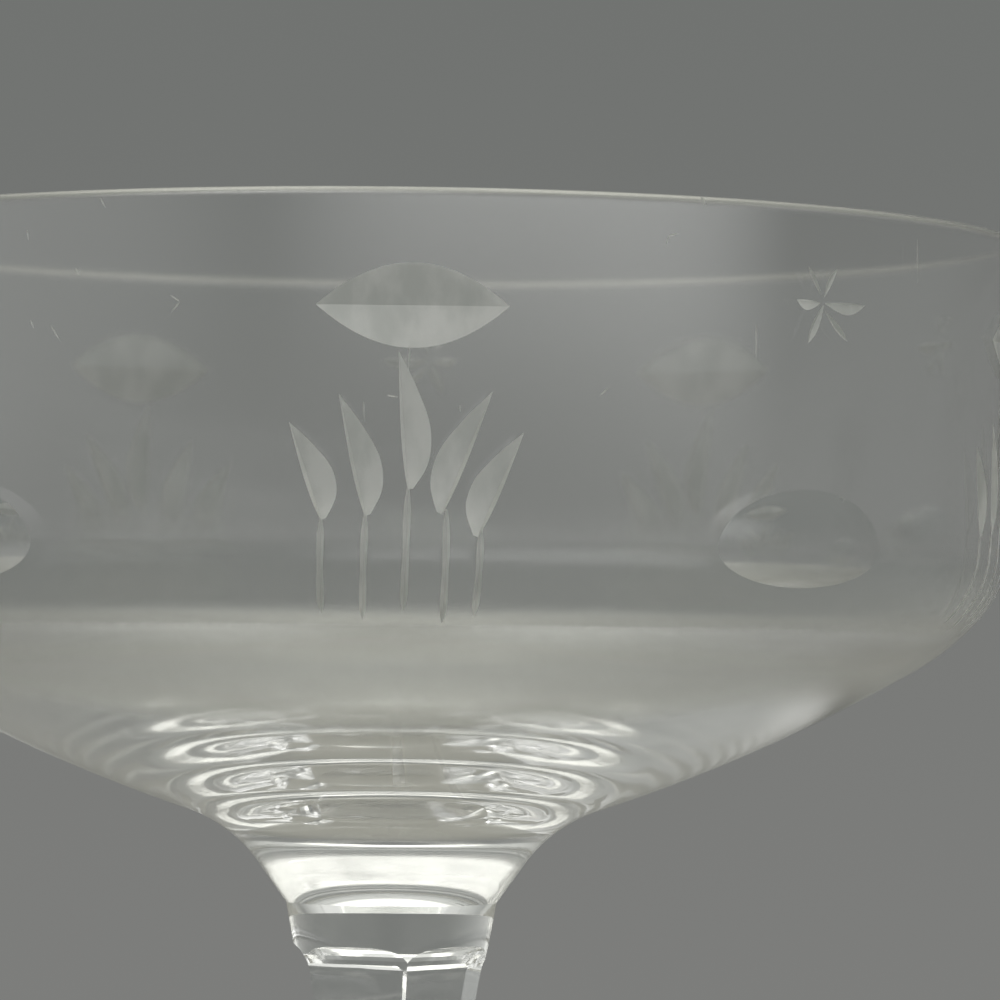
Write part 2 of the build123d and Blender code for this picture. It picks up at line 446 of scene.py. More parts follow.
def cut_glass(
    blank: bpy.types.Object, groups: Sequence[CutGroup], finishes: dict[Finish, bpy.types.Material]
) -> None:
    """Repeats the cutters round the blank and cuts them out of it, with Geometry Nodes.

    Args:
        blank: The uncut glass, whose mesh is replaced.
        groups: The cuts.
        finishes: Material of each finish.
    """
    tree = bpy.data.node_groups.new(blank.name + "_cutting", "GeometryNodeTree")
    nodes, link = tree.nodes, tree.links.new
    values: dict[str, object] = {}

    def add_input(name: str, kind: str, value: object) -> None:
        """Adds a named input and keeps the value that it gets."""
        socket = tree.interface.new_socket(name, in_out="INPUT", socket_type=kind)
        values[socket.identifier] = value

    tree.interface.new_socket("Blank", in_out="INPUT", socket_type="NodeSocketGeometry")
    tree.interface.new_socket("Cut glass", in_out="OUTPUT", socket_type="NodeSocketGeometry")
    for group in groups:
        for number, azimuth in enumerate(group.azimuths):
            add_input(f"{group.name} {number} azimuth", "NodeSocketFloat", math.radians(azimuth))
        for cutter in group.cutters:
            add_input(cutter.name, "NodeSocketObject", cutter)
    for finish, material in finishes.items():
        add_input(finish.name, "NodeSocketMaterial", material)
    given = nodes.new("NodeGroupInput")
    difference = nodes.new("GeometryNodeMeshBoolean")
    difference.operation, difference.solver = "DIFFERENCE", "MANIFOLD"
    link(given.outputs["Blank"], difference.inputs["Mesh 1"])
    for group in groups:
        union = nodes.new("GeometryNodeMeshBoolean")
        union.operation, union.solver = "UNION", "MANIFOLD"
        for cutter in group.cutters:
            info = nodes.new("GeometryNodeObjectInfo")
            link(given.outputs[cutter.name], info.inputs["Object"])
            link(info.outputs["Geometry"], union.inputs["Mesh 2"])
        turn = nodes.new("GeometryNodeIndexSwitch")
        turn.data_type = "FLOAT"
        for number in range(len(group.azimuths)):
            if number >= len(turn.index_switch_items):
                turn.index_switch_items.new()
            link(given.outputs[f"{group.name} {number} azimuth"], turn.inputs[number + 1])
        link(nodes.new("GeometryNodeInputIndex").outputs[0], turn.inputs["Index"])
        upright = nodes.new("ShaderNodeCombineXYZ")
        link(turn.outputs[0], upright.inputs["Z"])
        points = nodes.new("GeometryNodePoints")
        points.inputs["Count"].default_value = len(group.azimuths)
        repeat = nodes.new("GeometryNodeInstanceOnPoints")
        link(points.outputs[0], repeat.inputs["Points"])
        link(union.outputs["Mesh"], repeat.inputs["Instance"])
        link(upright.outputs[0], repeat.inputs["Rotation"])
        realize = nodes.new("GeometryNodeRealizeInstances")
        link(repeat.outputs[0], realize.inputs[0])
        link(realize.outputs[0], difference.inputs["Mesh 2"])
    realize = nodes.new("GeometryNodeRealizeInstances")
    link(difference.outputs["Mesh"], realize.inputs[0])
    marked = nodes.new("GeometryNodeInputNamedAttribute")
    marked.data_type = "INT"
    marked.inputs["Name"].default_value = FINISH_MARK
    last = realize.outputs[0]
    for finish in finishes:
        chosen = nodes.new("FunctionNodeCompare")
        chosen.data_type, chosen.operation = "INT", "EQUAL"
        a, b = [socket for socket in chosen.inputs if socket.enabled][:2]
        link(marked.outputs["Attribute"], a)
        b.default_value = finish.value
        dress = nodes.new("GeometryNodeSetMaterial")
        link(last, dress.inputs["Geometry"])
        link(chosen.outputs[0], dress.inputs["Selection"])
        link(given.outputs[finish.name], dress.inputs["Material"])
        last = dress.outputs[0]
    link(last, nodes.new("NodeGroupOutput").inputs[0])

    modifier = blank.modifiers.new("cutting", "NODES")
    modifier.node_group = tree
    for identifier, value in values.items():
        modifier[identifier] = value
    graph = bpy.context.evaluated_depsgraph_get()
    finished = blank.evaluated_get(graph)
    result = bpy.data.meshes.new_from_object(finished, preserve_all_data_layers=True, depsgraph=graph)
    blank.modifiers.remove(modifier)
    uncut, blank.data = blank.data, result
    bpy.data.meshes.remove(uncut)
    for group in groups:
        for cutter in group.cutters:
            bpy.data.meshes.remove(cutter.data)


def read(items: bpy.types.bpy_prop_collection, title: str, kind: type, width: int = 1) -> np.ndarray:
    """Reads one value of each item.

    Args:
        items: The items.
        title: Name of the value.
        kind: Kind of number.
        width: How many numbers the value has.

    Returns:
        The numbers, in rows where the value has more than one.
    """
    numbers = np.empty(len(items) * width, kind)
    items.foreach_get(title, numbers)
    return numbers.reshape(-1, width) if width > 1 else numbers


def smooth(made: bpy.types.Object, outline: Outline, sharp_angle: float = 9.0) -> None:
    """Shades turned faces by the exact outline, and cut faces smoothly up to their edges.

    Args:
        made: The cut piece.
        outline: Its outline before cutting.
        sharp_angle: Degrees between two cut faces from which their edge is crisp.
    """
    mesh = made.data
    work = bmesh.new()
    work.from_mesh(mesh)
    finish = work.faces.layers.int[FINISH_MARK]
    limit = math.radians(sharp_angle)
    for edge in work.edges:
        edge.smooth = len(edge.link_faces) == 2
        if edge.smooth:
            a, b = edge.link_faces
            edge.smooth = a[finish] == b[finish] and a.normal.angle(b.normal, 0) < limit
    for face in work.faces:
        face.smooth = True
    work.to_mesh(mesh)
    work.free()
    normals = read(mesh.corner_normals, "vector", np.float32, 3)
    of_corner = read(mesh.loops, "vertex_index", np.int32)
    places = read(mesh.vertices, "co", np.float32, 3)[of_corner].astype(float) / MM
    total = read(mesh.polygons, "loop_total", np.int32)
    kinds = read(mesh.attributes[FINISH_MARK].data, "value", np.int32)
    owner = np.repeat(np.arange(len(total)), total)
    sums = [np.bincount(owner, places[:, axis], len(total)) for axis in range(3)]
    middle = np.stack(sums, -1) / total[:, None]
    turned = np.isin(kinds, [Finish.FIRE_POLISHED.value, Finish.HOT_JOINT.value])[owner]
    normals[turned] = outline.normals(places[turned], middle[owner][turned])
    mesh.normals_split_custom_set(normals.tolist())


# ------------------------------------------------------------------ the glass


class TurnedPiece:
    """Glass that is turned from an outline, joined hot to its neighbours, and then cut."""

    name: str
    sides: int

    def outline(self) -> Outline:
        """Draws the outline, from the axis round to the axis again."""
        raise NotImplementedError

    def joints(self) -> tuple[float, ...]:
        """Heights of the hot joints."""
        raise NotImplementedError

    def groups(self) -> list[CutGroup]:
        """Makes the cuts, where there are any."""
        return []

    def build(self, finishes: dict[Finish, bpy.types.Material]) -> bpy.types.Object:
        """Builds the piece.

        Args:
            finishes: Material of each finish.

        Returns:
            The finished piece.
        """
        outline = self.outline()
        piece = mark(outline.turned(self.name, self.sides), Finish.FIRE_POLISHED)
        for height in self.joints():
            mark(piece, Finish.HOT_JOINT, height)
        groups = self.groups()
        if groups:
            cut_glass(piece, groups, finishes)
        else:
            for finish in Finish:
                piece.data.materials.append(finishes[finish])
            for face, value in zip(piece.data.polygons, piece.data.attributes[FINISH_MARK].data):
                face.material_index = value.value
        smooth(piece, outline)
        return piece


@dataclass
class Bowl(TurnedPiece):
    """The blown bowl with its thick base, its collar and its wheel cuts."""

    name: str = "cut_bowl"
    joint_z: float = 70.2
    rim_z: float = 120.0
    rim_radius: float = 48.0
    lean: float = math.radians(3.9)
    wall_run: float = 23.5
    # The shoulder turns tightly at first, and then more widely: radius and turn of each round.
    shoulder_rounds: tuple[Pair, ...] = ((7.2, math.radians(35.8)), (20.2, math.radians(20.3)))
    base_end: Pair = (15.6, 77.2)
    collar_top: Pair = (9.9, 72.85)
    joint_radius: float = 8.0
    lip_thickness: float = 1.3
    lip_round: float = 0.55
    shoulder_thickness: float = 1.9
    inside_corner_drop: float = 27.3
    inside_round: float = 5.8
    inside_depth: float = 41.0
    # Longest stretches of the outline.
    wall_step: float = 3.0
    floor_step: float = 0.9
    round_step: float = 0.35
    collar_step: float = 0.3
    joint_step: float = 0.6
    lip_step: float = 0.12
    sides: int = 320
    fan_azimuths: tuple[float, ...] = (0.0, 72.0, 144.7, 206.7, 287.0)
    lens_azimuths: tuple[float, ...] = (37.6, 109.0, 176.0, 247.0, 318.3)

    def place(self, right: float, run: float) -> Place:
        """Finds a place on the outside of the front.

        Args:
            right: Millimetres to the right of the front.
            run: Millimetres down the glass from the rim.

        Returns:
            The place.
        """
        shoulder_radius = self.rim_radius - self.wall_run * math.sin(self.lean)
        azimuth = right / shoulder_radius
        facing, left = self.lean, max(0.0, run - self.wall_run)
        radius = self.rim_radius - min(run, self.wall_run) * math.sin(self.lean)
        height = self.rim_z - min(run, self.wall_run) * math.cos(self.lean)
        for round_radius, turn in self.shoulder_rounds:
            end = facing + min(turn, left / round_radius)
            radius += round_radius * (math.cos(end) - math.cos(facing))
            height -= round_radius * (math.sin(end) - math.sin(facing))
            left -= round_radius * (end - facing)
            facing = end
        level = np.array([math.sin(azimuth), -math.cos(azimuth), 0.0])
        right_way = np.array([math.cos(azimuth), math.sin(azimuth), 0.0])
        up = np.array([0.0, 0.0, 1.0])
        return Place(
            level * radius + up * height,
            right_way,
            up * math.cos(facing) + level * math.sin(facing),
            level * math.cos(facing) - up * math.sin(facing),
        )

    def outline(self) -> Outline:
        """Draws the bowl from the middle of its floor over the lip to the joint.

        Returns:
            The outline.
        """
        floor_z = self.rim_z - self.inside_depth
        corner_z = self.rim_z - self.inside_corner_drop
        slant = self.inside_corner_drop * math.tan(self.lean)
        corner_r = self.rim_radius - slant - self.shoulder_thickness
        lip_r = self.rim_radius - self.lip_thickness
        rise = corner_z - floor_z
        floor_radius = (corner_r**2 + rise**2) / (2 * rise)
        # The round between floor and wall touches the line of the wall and the arc of the floor.
        wall_way = np.array([lip_r - corner_r, self.rim_z - corner_z])
        wall_way /= np.linalg.norm(wall_way)
        inward = np.array([-wall_way[1], wall_way[0]])
        base = np.array([corner_r, corner_z]) + inward * self.inside_round
        base -= np.array([0, floor_z + floor_radius])
        reach = (base @ wall_way) ** 2 - base @ base + (floor_radius - self.inside_round) ** 2
        along = -(base @ wall_way) - math.sqrt(reach)
        round_middle = base + wall_way * along
        floor_turn = math.atan2(round_middle[0], -round_middle[1])
        wall_heading = math.atan2(wall_way[1], wall_way[0])
        pen = Outline((0.0, floor_z)).arc(floor_radius, floor_turn, self.floor_step, 0.0)
        pen.arc(self.inside_round, wall_heading - pen.heading, self.round_step)
        drop = self.lip_round * math.tan(wall_heading / 2)
        lip_start = np.array([lip_r, self.rim_z]) - wall_way * drop
        pen.line(tuple(lip_start), self.wall_step).arc(self.lip_round, -wall_heading, self.lip_step)
        outer_drop = self.lip_round * math.tan((math.pi / 2 + self.lean) / 2)
        pen.line((self.rim_radius - outer_drop, self.rim_z))
        pen.arc(self.lip_round, -(math.pi / 2 + self.lean), self.lip_step)
        shoulder = self.place(0, self.wall_run).origin
        pen.line((-shoulder[1], shoulder[2]), self.wall_step)
        for round_radius, turn in self.shoulder_rounds:
            pen.arc(round_radius, -turn, self.round_step)
        pen.arc_to(self.base_end, self.floor_step).arc_to(self.collar_top, self.collar_step)
        pen.line((self.joint_radius, self.joint_z), self.joint_step).line((0.0, self.joint_z))
        return pen

    def fan(self) -> list[bpy.types.Object]:
        """Makes the cutters of one fan of leaves with the eye above it.

        Returns:
            The cutters.
        """
        leaf = Taper((0.0, 0.3, 0.6, 0.85, 1.0), (0.0, 0.62, 1.0, 0.74, 0.18), 28)
        stalk = Taper((0.0, 0.12, 0.5, 0.85, 1.0), (0.3, 0.85, 0.85, 1.0, 0.0), 24)
        bulge, straight, depth = 1.95, 0.22, 0.40
        stalk_width, stalk_depth = 0.24, 0.20
        leaves = (
            ((-7.10, 15.79), (-4.95, 22.35), bulge, straight),
            ((-3.77, 13.93), (-1.99, 22.05), bulge, straight),
            ((0.14, 11.02), (0.85, 20.25), bulge, straight),
            ((6.41, 13.63), (3.10, 21.90), straight, bulge),
            ((8.56, 16.34), (5.55, 23.40), straight, bulge),
        )
        stalks = (
            ((-4.95, 22.15), (-5.20, 29.33)),
            ((-1.99, 21.85), (-2.28, 29.89)),
            ((0.85, 20.05), (0.61, 29.17)),
            ((3.43, 21.55), (3.45, 30.20)),
            ((5.76, 22.75), (5.69, 29.48)),
        )
        eye_right, eye_run, eye_width, eye_length = 1.05, 7.97, 5.7, 13.0
        wheel, rise, overrun = 100.0, 0.15, 1.0
        wall_radius = self.rim_radius - eye_run * math.sin(self.lean)
        eye_depth = (eye_length / 2) ** 2 / 2 * (1 / wall_radius + 1 / wheel)
        top, half = eye_depth + rise, (eye_depth + rise) / eye_depth * eye_width / 2
        section, half_length = ((0.0, 0.0), (top, half), (top, -half)), eye_length / 2 + overrun
        eye = WheelCut("eye", eye_right, eye_run, eye_depth, wheel, half_length, section, Finish.GROUND)
        cuts = [eye.cutter(self)]
        for number, (start, end, left, right) in enumerate(leaves):
            cuts.append(TaperedCut(f"leaf_{number}", start, end, left, right, depth, leaf).cutter(self))
        for number, (start, end) in enumerate(stalks):
            line = TaperedCut(f"stalk_{number}", start, end, stalk_width, stalk_width, stalk_depth, stalk)
            cuts.append(line.cutter(self))
        return cuts

    def lens(self) -> list[bpy.types.Object]:
        """Makes the cutters of one lens with the star above it.

        Returns:
            The cutters.
        """
        run, depth, wheel, half_length, tip, steps = 23.5, 0.86, 110.0, 9.0, math.radians(3.4), 48
        edge_radius, edge_turn, edge_points = 12.0, 0.62, 41
        turns = np.linspace(-edge_turn, edge_turn, edge_points)
        edge = tuple((edge_radius * (1 - math.cos(t)), edge_radius * math.sin(t)) for t in turns)
        lens = WheelCut("lens", 0.0, run, depth, wheel, half_length, edge, Finish.POLISHED_CUT, tip, steps)
        petal = Taper((0.0, 0.3, 0.55, 0.8, 1.0), (0.1, 0.75, 1.0, 0.7, 0.0), 16)
        petals = (
            ((-0.25, 0.05), (-2.35, -0.05), 0.62, 0.08),
            ((0.20, 0.05), (4.05, 0.00), 0.08, 0.75),
            ((-0.20, -0.50), (-1.46, -2.40), 0.16, 0.16),
            ((0.10, -0.35), (1.13, -2.33), 0.36, 0.12),
            ((0.05, 0.20), (-1.16, 2.90), 0.34, 0.34),
            ((0.25, 0.65), (2.50, 2.60), 0.24, 0.24),
        )
        star_right, star_run, petal_depth = 0.4, 6.72, 0.16
        cuts = [lens.cutter(self)]
        for number, (inner, outer, left, right) in enumerate(petals):
            start = (star_right + inner[0], star_run + inner[1])
            end = (star_right + outer[0], star_run + outer[1])
            one = TaperedCut(f"petal_{number}", start, end, left, right, petal_depth, petal)
            cuts.append(one.cutter(self))
        return cuts

    def marks_of_use(self) -> list[bpy.types.Object]:
        """Makes the cutters of the hairlines and nicks that use has left on the front.

        Returns:
            The cutters.
        """
        hair = Taper((0.0, 0.25, 0.6, 1.0), (0.15, 1.0, 0.8, 0.1), 8)
        width, depth, rise = 0.055, 0.05, 0.05
        nick_ends, nick_width, nick_depth, nick_rise = ((20.55, -0.3), (20.78, 0.7)), 0.16, 0.42, 0.3
        ways = (
            ((0.87, 10.65), (0.77, 12.83)),
            ((-2.14, 14.42), (-2.07, 15.79)),
            ((-0.60, 13.98), (0.12, 14.10)),
            ((4.22, 14.60), (4.26, 15.05)),
            ((-25.72, 2.60), (-25.68, 3.30)),
            ((-20.03, 0.63), (-19.68, 1.30)),
            ((-22.02, 5.30), (-21.65, 5.83)),
            ((-15.13, 7.27), (-14.48, 7.70)),
            ((-14.48, 7.70), (-15.10, 8.45)),
            ((-24.07, 9.10), (-23.35, 10.20)),
            ((-25.67, 8.72), (-25.42, 9.30)),
            ((18.05, 3.40), (18.20, 2.86)),
            ((18.20, 2.86), (18.90, 2.62)),
            ((13.74, 13.72), (14.30, 13.20)),
            ((25.20, 8.57), (25.32, 10.95)),
            ((40.18, 1.77), (40.52, 4.91)),
        )
        marks = [
            TaperedCut(f"hairline_{number}", start, end, width, width, depth, hair, rise)
            for number, (start, end) in enumerate(ways)
        ]
        nick = TaperedCut("rim_nick", *nick_ends, nick_width, nick_width, nick_depth, hair, nick_rise)
        return [one.cutter(self) for one in (*marks, nick)]

    def joints(self) -> tuple[float, ...]:
        """Height of the joint with the stem."""
        return (self.joint_z,)

    def groups(self) -> list[CutGroup]:
        """Makes the fans, the lenses and the marks of use."""
        return [
            CutGroup("Fan", self.fan_azimuths, tuple(self.fan())),
            CutGroup("Lens", self.lens_azimuths, tuple(self.lens())),
            CutGroup("Use", (0.0,), tuple(self.marks_of_use())),
        ]


@dataclass
class Stem(TurnedPiece):
    """The solid stem with five flat cut sides below its round top."""

    name: str = "cut_stem"
    top_z: float = 70.2
    foot_z: float = 9.0
    radii: tuple[float, ...] = (8.0, 7.4, 6.6, 4.6, 6.4)
    drops: tuple[float, ...] = (0.0, 3.2, 7.5, 33.0, 61.2)
    top_draw: float = 0.18
    foot_flare: float = 0.45
    # In three sets, because the cutters of neighbouring flats reach into each other.
    flat_azimuths: tuple[tuple[float, ...], ...] = ((46.0, 190.0), (118.0, 262.0), (334.0,))
    flat_share: float = math.cos(math.pi / 5)
    flat_top_drop: float = 3.05
    flat_end_height: float = 5.0
    flat_runout: float = 2.2
    flat_bite: float = 0.12
    flat_blend: float = 0.9  # share of the runout that is left to its round
    flat_spread: float = 1.15  # half width of a flat's cutter, in top radii
    flat_reach: float = 2.0  # how far out the cutter reaches, in top radii
    flat_rows: int = 70
    round_rows: int = 10
    step: float = 0.6
    sides: int = 160

    @property
    def headings(self) -> Pair:
        """Headings of the stem's side at its top and at its foot."""
        return math.atan2(-1, -self.top_draw), math.atan2(-1, self.foot_flare)

    def outline(self) -> Outline:
        """Draws the stem from the middle of its top down to the joint with the foot.

        Returns:
            The outline.
        """
        pen = Outline((0.0, self.top_z)).line((self.radii[0], self.top_z))
        knots = [(r, self.top_z - d) for r, d in zip(self.radii, self.drops)][1:]
        return pen.curve(knots, self.headings, self.step).line((0.0, self.foot_z))

    def flat_cutter(self, name: str) -> bpy.types.Object:
        """Makes the cutter of the front flat, whose section follows the stem's own line.

        Args:
            name: Name of the cutter.

        Returns:
            The cutter.
        """
        depths = [r * self.flat_share - self.flat_bite for r in self.radii]
        knots = [(depth, self.top_z - d) for depth, d in zip(depths, self.drops)]
        pen = Outline(knots[0]).curve(knots[1:], self.headings, self.step)
        line = np.array([pen.start] + [s.end for s in pen.stretches])
        top, low = self.top_z - self.flat_top_drop, self.foot_z + self.flat_end_height
        runout = self.flat_runout
        fine = np.linspace(top - runout * self.flat_blend, low + runout * self.flat_blend, self.flat_rows)
        middle = [(float(np.interp(z, line[::-1, 1], line[::-1, 0])), float(z)) for z in fine]
        quarter = np.linspace(0, math.pi / 2, self.round_rows)[:-1]
        rounds = [(runout * (1 - math.sin(a)), runout * (1 - math.cos(a))) for a in quarter]
        section = [(middle[0][0] + across, top - down) for across, down in rounds]
        section += middle[1:-1]
        section += [(middle[-1][0] + across, low + up) for across, up in rounds[::-1]]
        far, half = self.flat_reach * self.radii[0], self.flat_spread * self.radii[0]
        section = [(far, top)] + section + [(far, low)]
        grid = np.array([[(x, -r, z) for r, z in section] for x in (-half, half)])
        return skin(name, grid, Finish.POLISHED_CUT)

    def joints(self) -> tuple[float, ...]:
        """Heights of the joints with the bowl and the foot."""
        return self.top_z, self.foot_z

    def groups(self) -> list[CutGroup]:
        """Makes the sets of flats."""
        return [
            CutGroup(f"Flats {number}", azimuths, (self.flat_cutter(f"flat_{number}"),))
            for number, azimuths in enumerate(self.flat_azimuths)
        ]


@dataclass
class Foot(TurnedPiece):
    """The spread disc that the glass stands on."""

    name: str = "spread_foot"
    joint_z: float = 9.0
    joint_radius: float = 6.4
    flare: float = 0.45
    radius: float = 33.0
    edge: float = 1.8
    edge_flat: float = 0.4
    brow: Pair = (10.5, 4.2)
    ring_width: float = 4.0
    hollow: float = 1.2
    # Longest stretches of the outline.
    top_step: float = 0.35
    flat_step: float = 1.5
    edge_step: float = 0.12
    hollow_step: float = 1.2
    sides: int = 256

    def outline(self) -> Outline:
        """Draws the foot from the middle of its joint down to the middle of its hollow.

        Returns:
            The outline.
        """
        edge_round = (self.edge - self.edge_flat) / 2
        pen = Outline((0.0, self.joint_z)).line((self.joint_radius, self.joint_z))
        spread_way = math.atan2(self.edge - self.brow[1], self.radius - self.brow[0])
        pen.curve([self.brow], (math.atan2(-1, self.flare), spread_way), self.top_step)
        top_cut = edge_round * math.tan((math.pi / 2 + spread_way) / 2)
        spread = np.array([math.cos(spread_way), math.sin(spread_way)])
        end = np.array([self.radius, self.edge]) - top_cut * spread
        pen.line(tuple(end), self.flat_step).arc(edge_round, -(math.pi / 2 + spread_way), self.edge_step)
        pen.line((self.radius, edge_round)).arc(edge_round, -math.pi / 2, self.edge_step)
        ring_inner = self.radius - edge_round - self.ring_width
        pen.line((ring_inner, 0.0), self.flat_step)
        hollow_radius = (ring_inner**2 + self.hollow**2) / (2 * self.hollow)
        turn = math.atan2(ring_inner, hollow_radius - self.hollow)
        return pen.arc(hollow_radius, turn, self.hollow_step, math.pi - turn)

    def joints(self) -> tuple[float, ...]:
        """Height of the joint with the stem."""
        return (self.joint_z,)


# ------------------------------------------------------------------ nodes and surface effects


@dataclass(frozen=True)
class Wiring:
    """Adds nodes to a shader tree and joins them up. A value is a socket, or else a number or colour."""

    tree: bpy.types.NodeTree

    def feed(self, socket: Socket, value: object) -> None:
        """Links a value to a socket, or sets the socket to it.

        Args:
            socket: The socket.
            value: The value.
        """
        if isinstance(value, Socket):
            self.tree.links.new(value, socket)
        else:
            socket.default_value = value

    def number(self, operation: str, *values: object, clamp: bool = False) -> Socket:
        """Works on numbers.

        Args:
            operation: What is done.
            values: What it is done to.
            clamp: Whether the result is kept between 0 and 1.

        Returns:
            The result.
        """
        node = self.tree.nodes.new("ShaderNodeMath")
        node.operation, node.use_clamp = operation, clamp
        for socket, value in zip(node.inputs, values):
            self.feed(socket, value)
        return node.outputs[0]

    def vector(self, operation: str, result: str, *values: object) -> Socket:
        """Works on vectors.

        Args:
            operation: What is done.
            result: Name of the output that is wanted.
            values: What it is done to.

        Returns:
            That output.
        """
        node = self.tree.nodes.new("ShaderNodeVectorMath")
        node.operation = operation
        for socket, value in zip(node.inputs, values):
            self.feed(socket, value)
        return node.outputs[result]

    def step(
        self, value: Socket, source: Sequence = (0, 1), target: Sequence = (0, 1), smooth: bool = True
    ) -> Socket:
        """Maps a value from one range to another, and holds it at their ends.

        Args:
            value: The value.
            source: Range that it comes from.
            target: Range that it goes to.
            smooth: Whether it eases in and out at the ends.

        Returns:
            The mapped value.
        """
        node = self.tree.nodes.new("ShaderNodeMapRange")
        node.interpolation_type = "SMOOTHSTEP" if smooth else "LINEAR"
        titles = ("Value", "From Min", "From Max", "To Min", "To Max")
        for title, given in zip(titles, (value, *source, *target)):
            self.feed(node.inputs[title], given)
        return node.outputs["Result"]

    def mix(self, factor: Socket, a: object, b: object) -> Socket:
        """Mixes two colours.

        Args:
            factor: Share of the second colour.
            a: The first colour.
            b: The second colour.

        Returns:
            The mixed colour.
        """
        node = self.tree.nodes.new("ShaderNodeMix")
        node.data_type = "RGBA"
        for title, given in (("Factor", factor), ("A", a), ("B", b)):
            self.feed(node.inputs[title], given)
        return node.outputs["Result"]

    def noise(self, place: Socket, stretch: Triple, detail: float, scale: object) -> Socket:
        """Makes noise from 0 to 1.

        Args:
            place: Place on the glass.
            stretch: Factors on the place, along X, Y and Z.
            detail: Detail of the noise.
            scale: Its scale.

        Returns:
            The noise.
        """
        stretched = self.vector("MULTIPLY", "Vector", place, stretch)
        node = self.tree.nodes.new("ShaderNodeTexNoise")
        for title, given in (("Vector", stretched), ("Detail", detail), ("Scale", scale)):
            self.feed(node.inputs[title], given)
        return node.outputs["Fac"]


@dataclass
class Effects:
    """Shader node groups that the finishes share, each built once.

    A pair named "shows" is the noise between which a mark comes in. Heights are metres.
    """

    film_scale: float = 60.0
    film_shows: Pair = (0.35, 0.68)
    film_share: float = 0.35
    upper_heights: Pair = (0.084, 0.098)
    upper_share: float = 0.65
    scratch_stretches: tuple[Triple, ...] = ((1, 1, 0.06), (0.25, 0.25, 1))
    scratch_scale: float = 1400.0
    scratch_shows: Pair = (0.68, 0.76)
    scuffs_begin: Pair = (0.084, 0.090)
    scuffs_end: Pair = (0.0945, 0.1)
    lip_heights: Pair = (0.1191, 0.1196)
    wave_stretch: Triple = (1, 1, 0.6)
    line_stretch: Triple = (0.08, 0.08, 1)
    line_scale: float = 2600.0
    patch_stretch: Triple = (1, 1, 0.5)
    patch_scale: float = 420.0
    patch_shows: Pair = (0.36, 0.66)
    built: dict[str, bpy.types.NodeTree] = field(default_factory=dict)

    def group(
        self,
        name: str,
        inputs: Sequence[str],
        outputs: Sequence[str],
        fill: Callable[[Wiring, Mapping[str, Socket]], Sequence[Socket]],
    ) -> bpy.types.NodeTree:
        """Finds a group, or builds it the first time.

        Args:
            name: Its name.
            inputs: Names of its number inputs, besides the place on the glass.
            outputs: Names of its outputs, all numbers.
            fill: Makes the values of the outputs from the inputs.

        Returns:
            The group.
        """
        if name not in self.built:
            tree = bpy.data.node_groups.new(name, "ShaderNodeTree")
            tree.interface.new_socket("Place", in_out="INPUT", socket_type="NodeSocketVector")
            for way, titles in (("INPUT", inputs), ("OUTPUT", outputs)):
                for title in titles:
                    tree.interface.new_socket(title, in_out=way, socket_type="NodeSocketFloat")
            wires, out = Wiring(tree), tree.nodes.new("NodeGroupOutput")
            values = fill(wires, tree.nodes.new("NodeGroupInput").outputs)
            for title, value in zip(outputs, values):
                wires.feed(out.inputs[title], value)
            self.built[name] = tree
        return self.built[name]

    def handling(self) -> bpy.types.NodeTree:
        """Film and fine scratches of use, more towards the rim, and scuffs on the shoulder and the lip.

        Returns:
            The group; it puts out a roughness made up of its four inputs, and the scratches' height.
        """

        def fill(wires: Wiring, given: Mapping[str, Socket]) -> Sequence[Socket]:
            """Makes the values.

            Args:
                wires: Wiring of the group.
                given: The group's inputs.

            Returns:
                The roughness and the height.
            """
            film = wires.step(wires.noise(given["Place"], (1, 1, 1), 3, self.film_scale), self.film_shows)
            level = wires.tree.nodes.new("ShaderNodeSeparateXYZ")
            wires.feed(level.inputs[0], given["Place"])
            height = level.outputs["Z"]
            upper = wires.step(wires.step(height, self.upper_heights), target=(0, self.upper_share))
            share = wires.number("MULTIPLY_ADD", film, self.film_share, upper, clamp=True)
            worn = wires.step(share, target=(given["Clean"], given["Worn"]))
            begin, end = wires.step(height, self.scuffs_begin), wires.step(height, self.scuffs_end, (1, 0))
            band = wires.number("MULTIPLY", begin, end)
            scuffs = wires.number("MULTIPLY_ADD", band, given["Scuffed"], worn)
            lip = wires.number("MULTIPLY_ADD", wires.step(height, self.lip_heights), given["Lip"], scuffs)
            hairs = [
                wires.step(wires.noise(given["Place"], stretch, 2, self.scratch_scale), self.scratch_shows)
                for stretch in self.scratch_stretches
            ]
            return lip, wires.number("MAXIMUM", *hairs)

        return self.group("handling_wear", ("Clean", "Worn", "Scuffed", "Lip"), ("Roughness", "Height"), fill)

    def waves(self) -> bpy.types.NodeTree:
        """Slow waves that blowing and hand-finishing leave in the glass.

        Returns:
            The group; it puts out a height from 0 to 1.
        """

        def fill(wires: Wiring, given: Mapping[str, Socket]) -> Sequence[Socket]:
            """Makes the height."""
            return (wires.noise(given["Place"], self.wave_stretch, 1, given["Scale"]),)

        return self.group("blown_waves", ("Scale",), ("Height",), fill)

    def wheel_marks(self) -> bpy.types.NodeTree:
        """Fine level lines and grain that a level wheel leaves in a cut.

        Returns:
            The group; it puts out a height and a mask of where the cut was ground coarser.
        """

        def fill(wires: Wiring, given: Mapping[str, Socket]) -> Sequence[Socket]:
            """Makes the values.

            Args:
                wires: Wiring of the group.
                given: The group's inputs.

            Returns:
                The height and the mask.
            """
            lines = wires.noise(given["Place"], self.line_stretch, 3, self.line_scale)
            grain = wires.noise(given["Place"], (1, 1, 1), 2, given["Grain scale"])
            patches = wires.noise(given["Place"], self.patch_stretch, 4, self.patch_scale)
            return wires.number("ADD", lines, grain), wires.step(patches, self.patch_shows)

        return self.group("wheel_marks", ("Grain scale",), ("Height", "Coarser"), fill)


